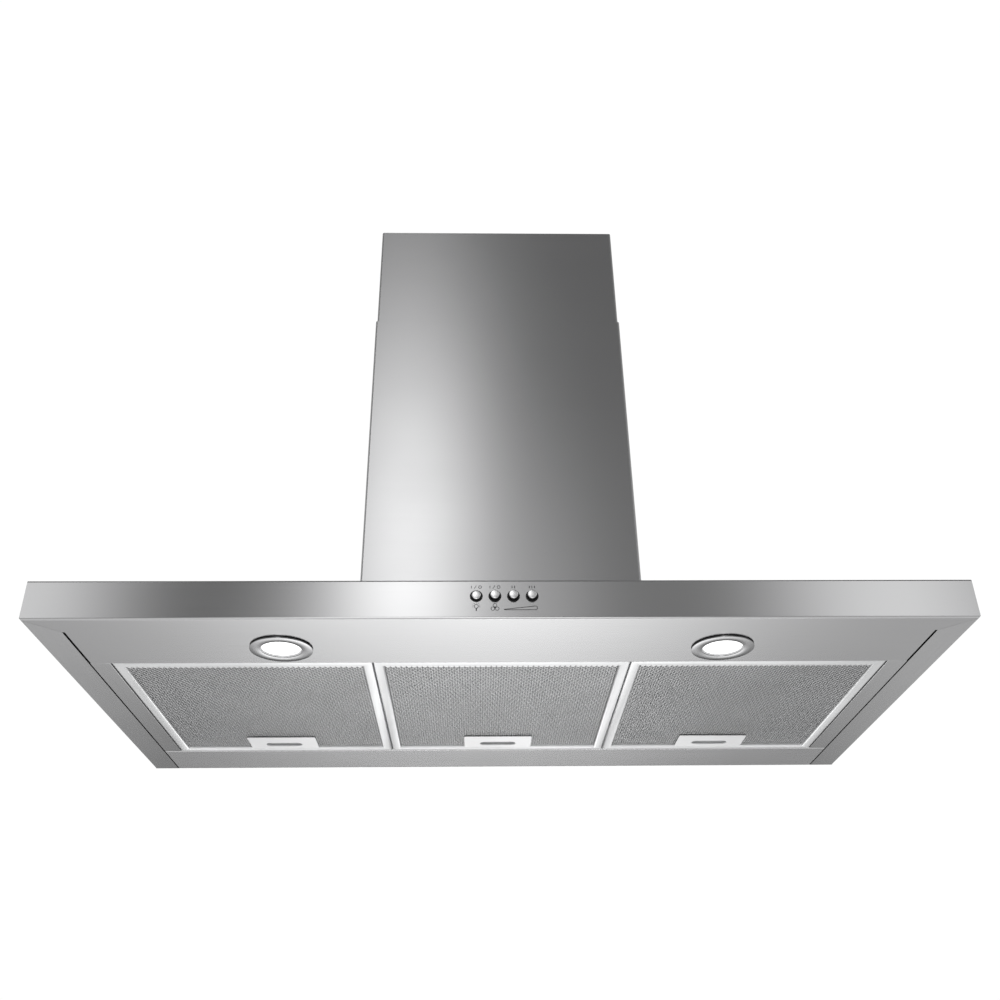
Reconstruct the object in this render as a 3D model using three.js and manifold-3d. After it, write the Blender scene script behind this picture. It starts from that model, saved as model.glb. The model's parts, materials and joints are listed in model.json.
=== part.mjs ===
// Island range hood: a shallow canopy with three grease filters, hung from the ceiling on a
// telescopic frame inside a two-piece chimney cover. Millimetres, +Z up, +X to the right of
// a person who faces the buttons. The origin is the centre of the chimney in the ceiling plane.
//
// Inside the model every height is counted from the underside of the canopy; the outer group
// lowers the whole model so that the ceiling lands on Z = 0.

import * as THREE from 'three';
import { mergeVertices } from 'three/addons/utils/BufferGeometryUtils.js';
import Module from 'manifold-3d';

const wasm = await Module();
wasm.setup();

// ---- driving dimensions -------------------------------------------------------------------

const CEILING = 594;             // underside of the canopy to the ceiling
const GAP = 0.3;                 // running gap between neighbouring pieces

const CANOPY_W = 900;
const CANOPY_D = 485;
const CANOPY_H = 40;
const SHEET = 1.2;               // canopy sheet
const BEND_R = 0.9;              // inside radius of the canopy's bends
const RETURN_W = 30;             // side flange folded in under the canopy
const SHADOW_GAP = 1.4;          // open line beside the side flanges
const LAMP_PANEL_D = 110;        // underside panel behind the fascia
const TOP_LAP = 12;              // fascia sheet folded back over the deck
const FASCIA_GAP = 0.4;          // between the fascia and the shell behind it
const DECK_HOLE = [120, 103];    // half sizes of the air opening in the deck
const SIDE_LIP = 12;             // upturned edges of the strips round the filters
const BACK_LIP = 10;

const LOWER_W = 300;             // lower chimney cover, outside
const LOWER_D = 270;
const LOWER_TOP = 445;
const COVER_SHEET = 0.9;
const COVER_STEP = 1.5;          // the upper cover is this much smaller on each side
const UPPER_LEN = 400;
const COVER_R = 2.2;             // outside radius of the covers' vertical corners

const FILTER_PITCH = 265;
const FILTER_W = 264;
const FILTER_L = 299.2;
const FILTER_T = 9;
const FILTER_HINGE_Y = -CANOPY_D / 2 + LAMP_PANEL_D;
const RAIL_SIDE = 11;
const RAIL_FRONT = 12;
const RAIL_BACK = 9;

const LATCH_W = 83;
const LATCH_D = 42;
const SLOT_W = 44;
const SLOT_D = 10;
const FILTER_SIDE_GAP = 1.5;     // open line between the outer filters and the side strips

const LAMP_X = 219;
const LAMP_Y = -CANOPY_D / 2 + 71;
const LAMP_RING_R = 31;
const LAMP_NECK_R = 27.2;
const LAMP_NECK_TOP = 6;
const LENS_R = 20;

const BUTTON_PITCH = 17.6;
const BUTTON_Z = 22.9;
const BUTTON_R = 4.3;
const BUTTON_HOLE_R = 6.1;
const FAN_BUTTON_OUT = 5.7;      // how far each cap stands out of the fascia
const LIGHT_BUTTON_OUT = 3.8;    // latched in, because the lamps are on
const BUTTON_LEN = 16.7;

const POST_SHEET = 1.5;
const UPPER_POST_LEG = 24;
const LOWER_POST_LEG = 22;
const UPPER_POST_BOTTOM = 160;
const LOWER_POST_TOP = 460;
const EXTENSION = 200;           // how far the telescopic frame can let the hood down
const BOLT_Z = 430;
const BOLT_R = 3;
const BOLT_INSET = 12;           // from the corner of the lower post
const BOLT_HEAD = [6.5, 1.8];    // radius and thickness
const NUT = [5.8, 5];
const NEST_GAP = 0.4;            // between an upper post and the lower one inside it

const PLATE_T = 2;               // ceiling plate
const PLATE_FLANGE = 15;
const DUCT_HOLE_R = 85;
const ANCHOR_AT = [118, 78];     // ceiling screws
const ANCHOR_R = 4.5;

const FAN_Y = 22;                // blower shaft
const FAN_Z = 165;
const HOUSING_HALF_W = 72;
const SCROLL_R0 = 78;            // scroll radius at the cut-off, and where it meets the outlet
const SCROLL_R1 = 108;
const CUTOFF_ANGLE = THREE.MathUtils.degToRad(75);
const OUTLET_TOP = 290;
const WALL = 2;
const INLET_R = 58;
const WHEEL_R = 70;
const WHEEL_HALF_W = 62;
const BLADES = 24;
const BLADE = [8.4, 1.2];        // depth and thickness
const WHEEL_RIM = [10, 3];
const HUB = [12, 18];            // radius and half length
const SHAFT_R = 4;
const MOTOR_R = 40;

const COLLAR_R = 75;             // fits a 150 mm duct
const COLLAR_TOP = 350;
const COLLAR_ROUND_FROM = 315;   // rectangular below, round above
const COLLAR_FLANGE = [5, 2.5];
const DAMPER_Z = 325;

// ---- finishes -----------------------------------------------------------------------------

const finish = {
  steel: { color: 0xb9bbbd, roughness: 0.34, metalness: 1 },
  zinc: { color: 0x9fa3a6, roughness: 0.5, metalness: 1 },
  mesh: { color: 0xc9cbcc, roughness: 0.42, metalness: 1 },
  aluminium: { color: 0xdcdedf, roughness: 0.3, metalness: 1 },
  chrome: { color: 0xe4e6e8, roughness: 0.08, metalness: 1 },
  black: { color: 0x151515, roughness: 0.45, metalness: 0 },
  grey: { color: 0x6d7073, roughness: 0.55, metalness: 0 },
  white: { color: 0xe9e9e4, roughness: 0.5, metalness: 0 },
  lens: { color: 0xf6f8fa, roughness: 0.35, metalness: 0 },
};

// ---- geometry helpers ---------------------------------------------------------------------

// A closed three.js geometry as a solid that can be joined and cut.
function solid(geometry) {
  const bare = geometry.clone();
  bare.deleteAttribute('normal');
  bare.deleteAttribute('uv');
  const merged = mergeVertices(bare, 1e-4);
  const vertProperties = merged.attributes.position.array.map((v) => Math.round(v * 1e4) / 1e4);
  const triVerts = new Uint32Array(merged.index.array);
  return new wasm.Manifold(new wasm.Mesh({ numProp: 3, vertProperties, triVerts }));
}

function toGeometry(body) {
  const mesh = body.getMesh();
  const geometry = new THREE.BufferGeometry();
  const points = new Float32Array(mesh.vertProperties);
  geometry.setAttribute('position', new THREE.BufferAttribute(points, 3));
  geometry.setIndex(new THREE.BufferAttribute(new Uint32Array(mesh.triVerts), 1));
  return geometry;
}

const join = (...geometries) => geometries.map(solid).reduce((a, b) => a.add(b));

// The first geometry less all the others, as a geometry again.
function cut(body, ...tools) {
  const start = body instanceof THREE.BufferGeometry ? solid(body) : body;
  return toGeometry(tools.map(solid).reduce((a, b) => a.subtract(b), start));
}

function box([x0, x1], [y0, y1], [z0, z1]) {
  const geometry = new THREE.BoxGeometry(x1 - x0, y1 - y0, z1 - z0);
  return geometry.translate((x0 + x1) / 2, (y0 + y1) / 2, (z0 + z1) / 2);
}

const AXES = {
  x: new THREE.Matrix4().set(0, 0, 1, 0, 1, 0, 0, 0, 0, 1, 0, 0, 0, 0, 0, 1),
  y: new THREE.Matrix4().set(0, 1, 0, 0, 0, 0, 1, 0, 1, 0, 0, 0, 0, 0, 0, 1),
  z: new THREE.Matrix4(),
};

// A shape pushed along an axis. Its own two coordinates are (y, z) for x, (z, x) for y and
// (x, y) for z.
function prism(shape, axis, [from, to], steps = 8) {
  const settings = { depth: to - from, bevelEnabled: false, curveSegments: steps };
  const geometry = new THREE.ExtrudeGeometry(shape, settings);
  return geometry.translate(0, 0, from).applyMatrix4(AXES[axis]);
}

// A rod along an axis; centre holds the two coordinates that prism uses.
function rod(axis, [u, v], radius, [from, to], sides = 24) {
  const geometry = new THREE.CylinderGeometry(radius, radius, to - from, sides);
  geometry.rotateX(Math.PI / 2).translate(u, v, (from + to) / 2);
  return geometry.applyMatrix4(AXES[axis]);
}

// A profile of [radius, height] pairs turned about an axis through centre.
function turned(axis, [u, v], profile, sides = 32) {
  const points = profile.map(([r, h]) => new THREE.Vector2(r, h));
  const geometry = new THREE.LatheGeometry(points, sides);
  geometry.rotateX(Math.PI / 2).translate(u, v, 0);
  return geometry.applyMatrix4(AXES[axis]);
}

function rectangle([x0, x1], [y0, y1]) {
  const shape = new THREE.Shape();
  shape.moveTo(x0, y0).lineTo(x1, y0).lineTo(x1, y1).lineTo(x0, y1);
  shape.closePath();
  return shape;
}

function roundedRectangle(halfW, halfD, radius) {
  const shape = new THREE.Shape();
  shape.moveTo(halfW, -halfD + radius);
  shape.absarc(halfW - radius, halfD - radius, radius, 0, Math.PI / 2);
  shape.absarc(-halfW + radius, halfD - radius, radius, Math.PI / 2, Math.PI);
  shape.absarc(-halfW + radius, -halfD + radius, radius, Math.PI, Math.PI * 1.5);
  shape.absarc(halfW - radius, -halfD + radius, radius, Math.PI * 1.5, Math.PI * 2);
  return shape;
}

// The section of a sheet bent along the given middle line, with round bends.
function bentSheet(line, thickness, insideRadius, steps = 4) {
  const middle = line.map(([x, y]) => new THREE.Vector2(x, y));
  const radius = insideRadius + thickness / 2;
  const left = [];
  const right = [];
  const mark = (point, direction) => {
    const side = new THREE.Vector2(-direction.y, direction.x).multiplyScalar(thickness / 2);
    left.push(point.clone().add(side));
    right.push(point.clone().sub(side));
  };
  const heading = (i) => middle[i + 1].clone().sub(middle[i]).normalize();
  mark(middle[0], heading(0));
  for (let i = 1; i < middle.length - 1; i += 1) {
    const before = heading(i - 1);
    const turn = before.cross(heading(i));
    const spin = Math.sign(turn);
    const start = middle[i].clone().addScaledVector(before, -radius);
    const toCentre = new THREE.Vector2(-before.y, before.x).multiplyScalar(spin * radius);
    const centre = start.clone().add(toCentre);
    for (let k = 0; k <= steps; k += 1) {
      const angle = (spin * k * Math.PI) / 2 / steps;
      const spoke = toCentre.clone().negate().rotateAround(new THREE.Vector2(), angle);
      mark(centre.clone().add(spoke), before.clone().rotateAround(new THREE.Vector2(), angle));
    }
  }
  mark(middle[middle.length - 1], heading(middle.length - 2));
  return new THREE.Shape([...left, ...right.reverse()]);
}

// A closed body through matching rings of points, lowest ring first.
function lofted(rings) {
  const count = rings[0].length;
  const centre = (ring) => {
    const sum = ring.reduce((total, point) => total.add(point), new THREE.Vector3());
    return sum.divideScalar(count);
  };
  const points = [...rings.flat(), centre(rings[0]), centre(rings[rings.length - 1])];
  const [bottom, top] = [points.length - 2, points.length - 1];
  const last = (rings.length - 1) * count;
  const index = [];
  for (let i = 0; i < count; i += 1) {
    const j = (i + 1) % count;
    index.push(bottom, j, i, top, last + i, last + j);
    for (let start = 0; start < last; start += count) {
      const [a, b] = [start + i, start + j];
      index.push(a, b, b + count, a, b + count, a + count);
    }
  }
  const geometry = new THREE.BufferGeometry().setFromPoints(points);
  return geometry.setIndex(index);
}

// ---- the model tree -----------------------------------------------------------------------

const hood = new THREE.Group();
const model = new THREE.Group();
model.position.z = -CEILING;
hood.add(model);

function piece(name, look, geometry, place = [0, 0, 0]) {
  const mesh = new THREE.Mesh(geometry, new THREE.MeshStandardMaterial(finish[look]));
  mesh.name = name;
  mesh.position.set(...place);
  model.add(mesh);
}

const SIDES = [['left', -1], ['right', 1]];
const CORNERS = [
  ['front_left', -1, -1], ['front_right', 1, -1], ['rear_left', -1, 1], ['rear_right', 1, 1],
];
const span = (a, b) => [Math.min(a, b), Math.max(a, b)];

// ---- canopy -------------------------------------------------------------------------------

const HALF_W = CANOPY_W / 2;
const FRONT = -CANOPY_D / 2;
const BACK = CANOPY_D / 2;
const RETURN_EDGE = HALF_W - RETURN_W;
const STRIP_EDGE = RETURN_EDGE - SHADOW_GAP;
const SHELL_FRONT = FRONT + SHEET + FASCIA_GAP;

// A triangle on the 45 degree mitre line, with its square corner at (cornerX, cornerY).
function mitreWedge(side, cornerX, cornerY, along) {
  const lineY = (x) => FRONT + HALF_W - x + along;
  const lineX = (y) => FRONT + HALF_W - y + along;
  const shape = new THREE.Shape();
  shape.moveTo(side * cornerX, cornerY);
  shape.lineTo(side * cornerX, lineY(cornerX));
  shape.lineTo(side * lineX(cornerY), cornerY);
  shape.closePath();
  return prism(shape, 'z', [-1, SHEET + GAP]);
}

// Deck, side walls, side flanges and back wall, folded from one sheet.
function canopyShell() {
  const t = SHEET / 2;
  const section = bentSheet([
    [t, -RETURN_EDGE], [t, -HALF_W + t], [CANOPY_H - t, -HALF_W + t],
    [CANOPY_H - t, HALF_W - t], [t, HALF_W - t], [t, RETURN_EDGE],
  ], SHEET, BEND_R);
  const folded = prism(section, 'y', [SHELL_FRONT, BACK]);
  const tuck = 0.1;
  const backWall = box(
    [-HALF_W + t, HALF_W - t], [BACK - SHEET - tuck, BACK - tuck], [tuck, CANOPY_H - t],
  );
  const [holeX, holeY] = DECK_HOLE;
  const throughDeck = [CANOPY_H - 3, CANOPY_H + 3];
  const hole = box([-holeX, holeX], [-holeY, holeY], throughDeck);
  const lapX = HALF_W - SHEET - BEND_R;
  const lap = box([-lapX, lapX], [FRONT, FRONT + TOP_LAP + GAP], throughDeck);
  const mitres = SIDES.map(([, side]) => mitreWedge(side, RETURN_EDGE - 1, FRONT - 1, GAP));
  return cut(join(folded, backWall), hole, lap, ...mitres);
}

// Fascia, its lap over the deck, and the lamp panel, folded from one sheet.
function fasciaPanel() {
  const t = SHEET / 2;
  const section = bentSheet([
    [FRONT + TOP_LAP, CANOPY_H - t], [FRONT + t, CANOPY_H - t], [FRONT + t, t],
    [FRONT + LAMP_PANEL_D, t],
  ], SHEET, BEND_R);
  const folded = prism(section, 'x', [-HALF_W, HALF_W]);
  const lapX = HALF_W - SHEET - BEND_R - GAP;
  const tools = [];
  for (const [, side] of SIDES) {
    const panelEnd = span(side * (STRIP_EDGE - 1), side * (HALF_W + 1));
    tools.push(mitreWedge(side, HALF_W + 1, FRONT + RETURN_W + 1, 0));
    tools.push(box(panelEnd, [FRONT + RETURN_W, BACK], [-1, SHEET + 1]));
    const behindFace = [FRONT + SHEET, FRONT + TOP_LAP + 1];
    tools.push(box(span(side * lapX, side * (HALF_W + 1)), behindFace, [20, CANOPY_H + 1]));
    tools.push(rod('z', [side * LAMP_X, LAMP_Y], LAMP_NECK_R + 0.5, [-1, SHEET + 1], 40));
  }
  for (let i = 0; i < 4; i += 1) {
    const x = (i - 1.5) * BUTTON_PITCH;
    tools.push(rod('y', [BUTTON_Z, x], BUTTON_HOLE_R, [FRONT - 1, FRONT + SHEET + 1], 28));
  }
  return cut(folded, ...tools);
}

// Filler strip between a side flange and the outer filter, with a lip that guides the filter.
function sideStrip(side) {
  const t = SHEET / 2;
  const inner = FILTER_PITCH + FILTER_W / 2 + FILTER_SIDE_GAP;
  const section = bentSheet([
    [SIDE_LIP, side * (inner + t)], [t, side * (inner + t)], [t, side * STRIP_EDGE],
  ], SHEET, BEND_R);
  return prism(section, 'y', [FILTER_HINGE_Y + GAP, FILTER_BACK]);
}

// Rear strip, with the lip that the filter latches catch on.
function backStrip() {
  const t = SHEET / 2;
  const lip = FILTER_BACK + 0.8 + t;
  const section = bentSheet([
    [lip, BACK_LIP], [lip, t], [BACK - SHEET - 2 * GAP, t],
  ], SHEET, BEND_R);
  return prism(section, 'x', [-STRIP_EDGE, STRIP_EDGE]);
}

// ---- chimney covers -----------------------------------------------------------------------

function chimneyCover(halfW, halfD, [bottom, top]) {
  const shape = roundedRectangle(halfW, halfD, COVER_R);
  shape.holes.push(new THREE.Path(roundedRectangle(
    halfW - COVER_SHEET, halfD - COVER_SHEET, COVER_R - COVER_SHEET,
  ).getPoints(3).reverse()));
  return prism(shape, 'z', [bottom, top], 3);
}

const UPPER_X = LOWER_W / 2 - COVER_STEP;
const UPPER_Y = LOWER_D / 2 - COVER_STEP;

// ---- telescopic frame ---------------------------------------------------------------------

// Outside faces of the parts that nest inside the upper cover.
const PLATE_X = UPPER_X - COVER_SHEET - 1;
const PLATE_Y = UPPER_Y - COVER_SHEET - 1;
const UPPER_POST_X = PLATE_X - POST_SHEET - GAP;
const UPPER_POST_Y = PLATE_Y - POST_SHEET - GAP;
const LOWER_POST_X = UPPER_POST_X - POST_SHEET - NEST_GAP;
const LOWER_POST_Y = UPPER_POST_Y - POST_SHEET - NEST_GAP;
const BOLT_Y = LOWER_POST_Y - BOLT_INSET;

function ceilingPlate() {
  const tray = box([-PLATE_X, PLATE_X], [-PLATE_Y, PLATE_Y], [CEILING - PLATE_FLANGE, CEILING]);
  const inside = box(
    [-PLATE_X + POST_SHEET, PLATE_X - POST_SHEET],
    [-PLATE_Y + POST_SHEET, PLATE_Y - POST_SHEET],
    [CEILING - PLATE_FLANGE - 1, CEILING - PLATE_T],
  );
  const through = [CEILING - PLATE_T - 1, CEILING + 1];
  const [anchorX, anchorY] = ANCHOR_AT;
  const anchors = CORNERS.map(([, sx, sy]) => (
    rod('z', [sx * anchorX, sy * anchorY], ANCHOR_R, through, 16)
  ));
  return cut(tray, inside, rod('z', [0, 0], DUCT_HOLE_R, through, 40), ...anchors);
}

// An angle section whose outside corner is at (x, y).
function angleSection(x, y, leg, sheet) {
  const shape = new THREE.Shape();
  const [sx, sy] = [Math.sign(x), Math.sign(y)];
  shape.moveTo(x, y);
  shape.lineTo(x - sx * leg, y);
  shape.lineTo(x - sx * leg, y - sy * sheet);
  shape.lineTo(x - sx * sheet, y - sy * sheet);
  shape.lineTo(x - sx * sheet, y - sy * leg);
  shape.lineTo(x, y - sy * leg);
  shape.closePath();
  return shape;
}

function upperPost(sx, sy) {
  const section = angleSection(sx * UPPER_POST_X, sy * UPPER_POST_Y, UPPER_POST_LEG, POST_SHEET);
  const post = prism(section, 'z', [UPPER_POST_BOTTOM, CEILING - PLATE_T - GAP]);
  const slotY = sy * BOLT_Y;
  const slot = box(
    span(sx * (UPPER_POST_X + 1), sx * (UPPER_POST_X - POST_SHEET - 1)),
    [slotY - BOLT_R - 0.4, slotY + BOLT_R + 0.4],
    [BOLT_Z - EXTENSION - 8, BOLT_Z + 8],
  );
  return cut(post, slot);
}

function lowerPost(sx, sy) {
  const section = angleSection(sx * LOWER_POST_X, sy * LOWER_POST_Y, LOWER_POST_LEG, POST_SHEET);
  const post = prism(section, 'z', [CANOPY_H + GAP, LOWER_POST_TOP]);
  const across = span(sx * (LOWER_POST_X + 1), sx * (LOWER_POST_X - POST_SHEET - 1));
  return cut(post, rod('x', [sy * BOLT_Y, BOLT_Z], BOLT_R + 0.3, across, 16));
}

// Clamp bolt with its flat head outside the posts and its nut inside.
function frameBolt(sx, sy) {
  const centre = [sy * BOLT_Y, BOLT_Z];
  const headFrom = UPPER_POST_X + GAP;
  const nutTo = LOWER_POST_X - POST_SHEET - GAP;
  const [headR, headT] = BOLT_HEAD;
  const [nutR, nutT] = NUT;
  const shank = rod('x', centre, BOLT_R, span(sx * (headFrom + 1), sx * (nutTo - nutT - 2)), 10);
  const head = rod('x', centre, headR, span(sx * headFrom, sx * (headFrom + headT)), 12);
  const nut = rod('x', centre, nutR, span(sx * nutTo, sx * (nutTo - nutT)), 6);
  return toGeometry(join(shank, head, nut));
}

// ---- blower -------------------------------------------------------------------------------

// The scroll in (y, z), with the outlet straight up; wall is how far outside the air path.
function scrollOutline(wall, top) {
  const shape = new THREE.Shape();
  const sweep = CUTOFF_ANGLE + Math.PI;
  const steps = 26;
  const at = (k) => {
    const angle = CUTOFF_ANGLE - (sweep * k) / steps;
    const r = SCROLL_R0 + ((SCROLL_R1 - SCROLL_R0) * k) / steps + wall;
    return [FAN_Y + r * Math.cos(angle), FAN_Z + r * Math.sin(angle)];
  };
  shape.moveTo(at(0)[0], top);
  for (let k = 0; k <= steps; k += 1) {
    shape.lineTo(...at(k));
  }
  shape.lineTo(FAN_Y - SCROLL_R1 - wall, top);
  shape.closePath();
  return shape;
}

const RAIL_YS = [-64, 64];
const RAIL_TOP = CANOPY_H + GAP + 12;

function blowerHousing(side) {
  const [from, to] = [side * GAP / 2, side * HOUSING_HALF_W];
  const shell = prism(scrollOutline(WALL, OUTLET_TOP), 'x', span(from, to));
  const feet = RAIL_YS.map((y) => box(
    span(side * 30, side * 50),
    [y - 6, y + 6],
    [RAIL_TOP + GAP, y < 0 ? FAN_Z - 40 : FAN_Z - 70],
  ));
  const air = span(-side, to - side * WALL);
  const inlet = span(to + side, to - side * (WALL + 1));
  return cut(
    join(shell, ...feet),
    prism(scrollOutline(0, OUTLET_TOP + 5), 'x', air),
    rod('x', [FAN_Y, FAN_Z], INLET_R, inlet, 32),
  );
}

function blowerWheel() {
  const centre = [FAN_Y, FAN_Z];
  const [rimW, rimT] = WHEEL_RIM;
  const [hubR, hubHalf] = HUB;
  const rings = [-1, 1].map((side) => {
    const reach = span(side * (WHEEL_HALF_W - rimT), side * WHEEL_HALF_W);
    const disc = rod('x', centre, WHEEL_R, reach, 36);
    return cut(disc, rod('x', centre, WHEEL_R - rimW, [-80, 80], 36));
  });
  const blades = Array.from({ length: BLADES }, (_, i) => {
    const blade = new THREE.BoxGeometry(2 * WHEEL_HALF_W - 2, ...BLADE);
    blade.rotateX(Math.PI / 5).translate(0, WHEEL_R - 5.2, 0);
    return blade.rotateX((2 * Math.PI * i) / BLADES).translate(0, ...centre);
  });
  const disc = rod('x', centre, WHEEL_R - 3, [-1, 1], 36);
  const hub = rod('x', centre, hubR, [-hubHalf, hubHalf], 20);
  const bore = rod('x', centre, SHAFT_R + 0.4, [-hubHalf - 5, hubHalf + 5], 16);
  return cut(join(disc, hub, ...rings, ...blades), bore);
}

const MOTOR_FROM = HOUSING_HALF_W + 6;

function blowerMotor() {
  return turned('x', [FAN_Y, FAN_Z], [
    [0, MOTOR_FROM + 34], [SHAFT_R + 0.5, MOTOR_FROM + 34], [SHAFT_R + 0.5, MOTOR_FROM],
    [28, MOTOR_FROM], [MOTOR_R - 1, MOTOR_FROM + 6], [MOTOR_R, MOTOR_FROM + 10],
    [MOTOR_R, MOTOR_FROM + 40],
    [38, MOTOR_FROM + 44], [26, MOTOR_FROM + 50], [0, MOTOR_FROM + 50],
  ], 28);
}

// A ring round the motor with three arms that stand on the housing.
function motorBracket() {
  const centre = [FAN_Y, FAN_Z];
  const ringX = [MOTOR_FROM + 20, MOTOR_FROM + 24];
  const [width, reach] = [[-7, 7], 84];
  const arms = [0, 1, 2].map((i) => {
    const arm = box(ringX, width, [MOTOR_R + 2, reach]);
    const leg = box([HOUSING_HALF_W + GAP, ringX[1]], width, [reach - 5, reach]);
    const whole = toGeometry(join(arm, leg));
    return whole.rotateX((i * 2 * Math.PI) / 3).translate(0, ...centre);
  });
  const ring = rod('x', centre, MOTOR_R + 6, ringX, 32);
  return cut(join(ring, ...arms), rod('x', centre, MOTOR_R + 0.6, [MOTOR_FROM, 140], 32));
}

// From the blower's rectangular outlet to the round duct.
function ductCollar() {
  const sides = 32;
  const outletY = [FAN_Y - SCROLL_R1 - WALL, FAN_Y + SCROLL_R0 * Math.cos(CUTOFF_ANGLE) + WALL];
  const middleY = (outletY[0] + outletY[1]) / 2;
  const halfY = (outletY[1] - outletY[0]) / 2;
  const ring = (inset, z, round) => Array.from({ length: sides }, (_, i) => {
    const angle = (2 * Math.PI * i) / sides;
    const [c, s] = [Math.cos(angle), Math.sin(angle)];
    const reach = Math.max(Math.abs(c), Math.abs(s));
    if (round) return new THREE.Vector3((COLLAR_R - inset) * c, (COLLAR_R - inset) * s, z);
    const x = ((HOUSING_HALF_W - inset) * c) / reach;
    return new THREE.Vector3(x, middleY + ((halfY - inset) * s) / reach, z);
  });
  const bottom = OUTLET_TOP + GAP;
  const [flangeW, flangeT] = COLLAR_FLANGE;
  const outside = lofted([
    ring(0, bottom, false), ring(0, COLLAR_ROUND_FROM, true), ring(0, COLLAR_TOP, true),
  ]);
  const inside = lofted([
    ring(WALL, bottom - 2, false), ring(WALL, bottom, false),
    ring(WALL, COLLAR_ROUND_FROM, true), ring(WALL, COLLAR_TOP + 2, true),
  ]);
  const flange = box(
    [-HOUSING_HALF_W - flangeW, HOUSING_HALF_W + flangeW],
    [outletY[0] - flangeW, outletY[1] + flangeW], [bottom, bottom + flangeT],
  );
  return cut(join(outside, flange), inside);
}

// A half disc that closes one side of the collar; its hinge pin lies on y = 0.
function damperFlap(side) {
  const [start, radius] = [3, COLLAR_R - WALL - 1.5];
  const from = Math.asin(start / radius);
  const shape = new THREE.Shape(Array.from({ length: 17 }, (_, i) => {
    const angle = from + ((Math.PI - 2 * from) * i) / 16;
    return new THREE.Vector2(radius * Math.cos(angle), side * radius * Math.sin(angle));
  }));
  return prism(shape, 'z', [DAMPER_Z - 0.6, DAMPER_Z + 0.6]);
}

// ---- electrics ----------------------------------------------------------------------------

const WIRING_X = [-140, -HOUSING_HALF_W - GAP];
const WIRING_Z = [226, 286];
const GLAND = [-108, 0];

function wiringBox() {
  const outside = box(WIRING_X, [-45, 45], WIRING_Z);
  const inside = box(
    [WIRING_X[0] - 1, WIRING_X[1] - WALL], [-43, 43], [WIRING_Z[0] + WALL, WIRING_Z[1] - WALL],
  );
  return cut(outside, inside, rod('z', GLAND, 8.5, [WIRING_Z[1] - 5, WIRING_Z[1] + 1], 20));
}

function cableGland() {
  const top = WIRING_Z[1];
  const nut = rod('z', GLAND, 12, [top + GAP, top + 7], 6);
  const neck = rod('z', GLAND, 8, [top - 6, top + 2], 20);
  const cone = turned('z', GLAND, [[0, top + 6], [9.5, top + 6], [7, top + 17], [0, top + 17]], 20);
  return cut(join(nut, neck, cone), rod('z', GLAND, 4, [top - 8, top + 20], 12));
}

function switchBlock() {
  const body = box([-37, 37], [FRONT + SHEET + GAP, FRONT + 22], [BUTTON_Z - 9, BUTTON_Z + 9]);
  const sleeves = [];
  const bores = [];
  for (let i = 0; i < 4; i += 1) {
    const centre = [BUTTON_Z, (i - 1.5) * BUTTON_PITCH];
    sleeves.push(rod('y', centre, BUTTON_HOLE_R - 0.3, [FRONT - 0.5, FRONT + 4], 28));
    bores.push(rod('y', centre, BUTTON_R + 0.35, [FRONT - 1, FRONT + 16], 28));
  }
  return cut(join(body, ...sleeves), ...bores);
}

function buttonCap(x, out) {
  const [tip, end] = [FRONT - out, FRONT - out + BUTTON_LEN];
  return turned('y', [BUTTON_Z, x], [
    [0, tip], [BUTTON_R * 0.45, tip + 0.15], [BUTTON_R * 0.8, tip + 0.6],
    [BUTTON_R, tip + 1.5], [BUTTON_R, end], [0, end],
  ], 24);
}

// ---- lamps --------------------------------------------------------------------------------

function lampRing(x) {
  const bore = LENS_R + 0.4;
  return turned('z', [x, LAMP_Y], [
    [bore, -1.3], [bore + 1.2, -2], [LAMP_RING_R - 2, -2], [LAMP_RING_R, -0.9],
    [LAMP_RING_R, -GAP], [LAMP_NECK_R, -GAP], [LAMP_NECK_R, LAMP_NECK_TOP],
    [bore, LAMP_NECK_TOP], [bore, -1.3],
  ], 32);
}

function lampLens(x) {
  return turned('z', [x, LAMP_Y], [
    [0, -1.5], [LENS_R * 0.6, -1.3], [LENS_R - 0.6, -0.6], [LENS_R, 0], [LENS_R, 2], [0, 2],
  ], 32);
}

function lampHousing(x) {
  return turned('z', [x, LAMP_Y], [
    [0, 28], [10, 28], [24, 8], [24, LAMP_NECK_TOP + GAP], [26, LAMP_NECK_TOP + GAP],
    [26, 24], [22, 32], [0, 32],
  ], 24);
}

// ---- grease filters -----------------------------------------------------------------------

const FILTER_FRONT = FILTER_HINGE_Y + GAP;
const FILTER_BACK = FILTER_FRONT + FILTER_L;
const LATCH_BACK = FILTER_BACK - RAIL_BACK - GAP;
const LATCH_FRONT = LATCH_BACK - LATCH_D;
const SLOT_Y = LATCH_BACK - 15.5;
const POCKET_FRONT = LATCH_FRONT + 2;
const MESH_Z = [1.8, 7.5];
const TONGUE_Z = [2.2, 3.4];
const TONGUE_HALF = 14;

function filterFrame(x) {
  const outline = rectangle([-FILTER_W / 2, FILTER_W / 2], [FILTER_FRONT, FILTER_BACK]);
  outline.holes.push(rectangle(
    [-FILTER_W / 2 + RAIL_SIDE, FILTER_W / 2 - RAIL_SIDE],
    [FILTER_FRONT + RAIL_FRONT, FILTER_BACK - RAIL_BACK],
  ));
  const ring = prism(outline, 'z', [0, FILTER_T]);
  const tabs = [-70, 70].map((tx) => (
    box([tx - 15, tx + 15], [FILTER_FRONT - 5.5, FILTER_FRONT + 1], [1.7, 2.9])
  ));
  const notch = box(
    [-TONGUE_HALF - 0.5, TONGUE_HALF + 0.5], [FILTER_BACK - RAIL_BACK - 1, FILTER_BACK + 1],
    [TONGUE_Z[0] - GAP, TONGUE_Z[1] + GAP],
  );
  return cut(join(ring, ...tabs), notch).translate(x, 0, 0);
}

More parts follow.
